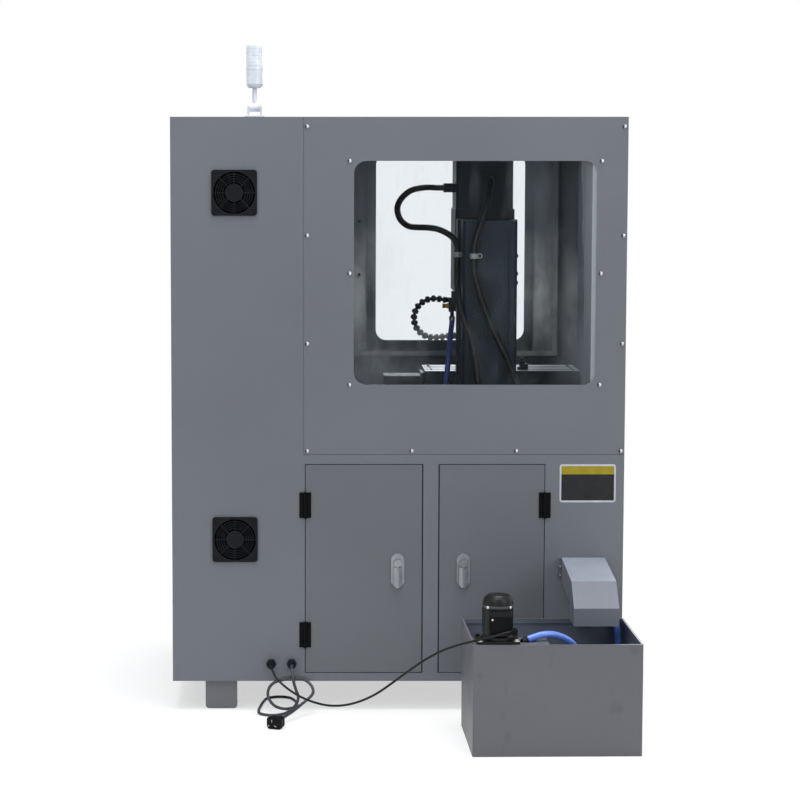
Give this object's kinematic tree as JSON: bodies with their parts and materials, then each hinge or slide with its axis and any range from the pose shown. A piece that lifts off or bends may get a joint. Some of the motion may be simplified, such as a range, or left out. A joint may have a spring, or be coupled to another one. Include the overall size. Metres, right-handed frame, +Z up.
{
  "type": "mini cnc milling machine",
  "caption": "Compact milling machine on a cast column inside a sheet-metal enclosure with windows, base doors, control panel, folding signal lamp, chip chute and coolant tank with pump.",
  "frame": {"origin": "middle of the four foot anchor holes at floor level", "axes": "+Z up; the service side with the two base doors faces -Y; +X is to the right seen from there"},
  "size_m": [1.2, 1.555, 1.779],
  "materials": {
    "enclosure_paint": "fine powder coat, satin",
    "inner_paint": "powder coat, satin",
    "tank_paint": "powder coat, satin",
    "cast_paint": "hammered enamel, satin",
    "window_glazing": "clear polycarbonate",
    "screw_steel": "nickel plated",
    "black_metal": "satin",
    "lock_metal": "satin chrome",
    "zinc_steel": "zinc plated",
    "black_plastic": "matt",
    "grey_plastic": "matt",
    "cord_grey": "smooth sheath",
    "cord_black": "smooth sheath",
    "pump_black": "satin enamel",
    "blue_hose": "smooth",
    "blue_plastic": "smooth",
    "machined_iron": "ground",
    "machined_steel": "turned",
    "conduit_plastic": "ribbed",
    "brass_body": "satin",
    "dark_panel": "fine texture",
    "screen_glass": "glossy",
    "red_plastic": "glossy",
    "green_plastic": "glossy",
    "lamp_white": "smooth"
  },
  "bodies": {
    "enclosure": {"rear_frame_panel": "enclosure_paint", "rear_window_panel": "enclosure_paint", "rear_window_pane": "window_glazing", "panel_screws": "screw_steel", "cabinet_side_panel": "enclosure_paint", "bulkhead": "enclosure_paint", "right_side_panel": "enclosure_paint", "roof_panel": "enclosure_paint", "front_frame_panel": "enclosure_paint", "chip_tray": "inner_paint", "base_frame": "inner_paint", "mounting_feet": "enclosure_paint", "frame_hinge_leaves": "black_metal", "fan_guards": "black_plastic", "cable_glands": "black_plastic", "mains_cord": "cord_grey", "mains_plug": "black_plastic", "pump_cable": "cord_black", "coolant_tank": "tank_paint", "coolant_pump": "pump_black", "pump_terminal_box": "black_plastic", "coolant_hose": "blue_hose", "chip_chute": "tank_paint", "machine_base": "cast_paint", "column": "cast_paint", "head_conduits": "conduit_plastic", "column_conduits": "conduit_plastic", "supply_hose": "blue_hose", "control_panel": "dark_panel", "display_screen": "screen_glass", "lamp_base": "grey_plastic"},
    "left_door": {"left_door": "enclosure_paint", "left_door_hinges": "black_metal", "left_lock_plate": "lock_metal"},
    "left_lock": {"left_lock_cam": "zinc_steel"},
    "left_lever": {"left_lock_lever": "lock_metal"},
    "right_door": {"right_door": "enclosure_paint", "right_door_hinges": "black_metal", "right_lock_plate": "lock_metal"},
    "right_lock": {"right_lock_cam": "zinc_steel"},
    "right_lever": {"right_lock_lever": "lock_metal"},
    "front_door": {"front_door": "enclosure_paint", "front_door_window": "window_glazing", "front_door_handle": "black_plastic", "front_door_hinges": "black_metal"},
    "upper_fan": {"upper_fan_wheel": "black_plastic"},
    "lower_fan": {"lower_fan_wheel": "black_plastic"},
    "saddle": {"saddle": "cast_paint"},
    "table": {"table": "machined_iron", "table_motor_cover": "grey_plastic"},
    "head": {"head": "cast_paint", "coolant_manifold": "brass_body", "nozzle_hose": "blue_plastic"},
    "spindle": {"spindle": "machined_steel"},
    "valve": {"valve_knob": "brass_body"},
    "stop": {"emergency_stop": "red_plastic"},
    "start": {"start_button": "green_plastic"},
    "knob": {"feed_knob": "black_plastic"},
    "wheel": {"handwheel": "black_plastic"},
    "lamp": {"signal_lamp": "lamp_white"}
  },
  "joints": [
    {"name": "left_door_swing", "type": "hinge", "parent": "enclosure", "child": "left_door", "pos_m": [-0.246, -0.486, 0.384], "axis": [0, 0, -1], "range_deg": [0, 110]},
    {"name": "left_lock_turn", "type": "hinge", "parent": "left_door", "child": "left_lock", "pos_m": [0, -0.483, 0.4], "axis": [0, -1, 0], "range_deg": [0, 90]},
    {"name": "left_lever_lift", "type": "hinge", "parent": "left_lock", "child": "left_lever", "pos_m": [0, -0.4875, 0.385], "axis": [-1, 0, 0], "range_deg": [0, 30]},
    {"name": "right_door_swing", "type": "hinge", "parent": "enclosure", "child": "right_door", "pos_m": [0.39, -0.486, 0.384], "axis": [0, 0, 1], "range_deg": [0, 30]},
    {"name": "right_lock_turn", "type": "hinge", "parent": "right_door", "child": "right_lock", "pos_m": [0.175, -0.483, 0.4], "axis": [0, 1, 0], "range_deg": [0, 90]},
    {"name": "right_lever_lift", "type": "hinge", "parent": "right_lock", "child": "right_lever", "pos_m": [0.175, -0.4875, 0.385], "axis": [-1, 0, 0], "range_deg": [0, 30]},
    {"name": "front_door_swing", "type": "hinge", "parent": "enclosure", "child": "front_door", "pos_m": [0.512, 0.486, 1.2], "axis": [0, 0, -1], "range_deg": [0, 110]},
    {"name": "upper_fan_spin", "type": "hinge", "parent": "enclosure", "child": "upper_fan", "pos_m": [-0.4325, -0.47, 1.382], "axis": [0, 1, 0], "continuous": true},
    {"name": "lower_fan_spin", "type": "hinge", "parent": "enclosure", "child": "lower_fan", "pos_m": [-0.4325, -0.47, 0.463], "axis": [0, 1, 0], "continuous": true},
    {"name": "y_travel", "type": "slide", "parent": "enclosure", "child": "saddle", "axis": [0, 1, 0], "range_m": [-0.065, 0.065]},
    {"name": "x_travel", "type": "slide", "parent": "saddle", "child": "table", "axis": [1, 0, 0], "range_m": [-0.154, 0.046]},
    {"name": "z_travel", "type": "slide", "parent": "enclosure", "child": "head", "axis": [0, 0, 1], "range_m": [-0.065, 0.08], "deforming": ["head_conduits", "supply_hose"]},
    {"name": "spindle_spin", "type": "hinge", "parent": "head", "child": "spindle", "pos_m": [0.253, 0.04, 1.06], "axis": [0, 0, 1], "continuous": true},
    {"name": "valve_turn", "type": "hinge", "parent": "head", "child": "valve", "pos_m": [0.148, -0.05, 1.058], "axis": [-1, 0, 0], "range_deg": [0, 270]},
    {"name": "stop_press", "type": "slide", "parent": "enclosure", "child": "stop", "axis": [0, -1, 0], "range_m": [0, 0.004], "stiffness_N_per_m": 1500},
    {"name": "start_press", "type": "slide", "parent": "enclosure", "child": "start", "axis": [0, -1, 0], "range_m": [0, 0.004], "stiffness_N_per_m": 800},
    {"name": "knob_turn", "type": "hinge", "parent": "enclosure", "child": "knob", "pos_m": [-0.3325, 0.508, 1.136], "axis": [0, 1, 0], "range_deg": [-140, 140]},
    {"name": "handwheel_spin", "type": "hinge", "parent": "enclosure", "child": "wheel", "pos_m": [-0.4785, 0.508, 1.032], "axis": [0, 1, 0], "continuous": true},
    {"name": "lamp_fold", "type": "hinge", "parent": "enclosure", "child": "lamp", "pos_m": [-0.382, -0.28, 1.608], "axis": [1, 0, 0], "range_deg": [0, 90]}
  ]
}
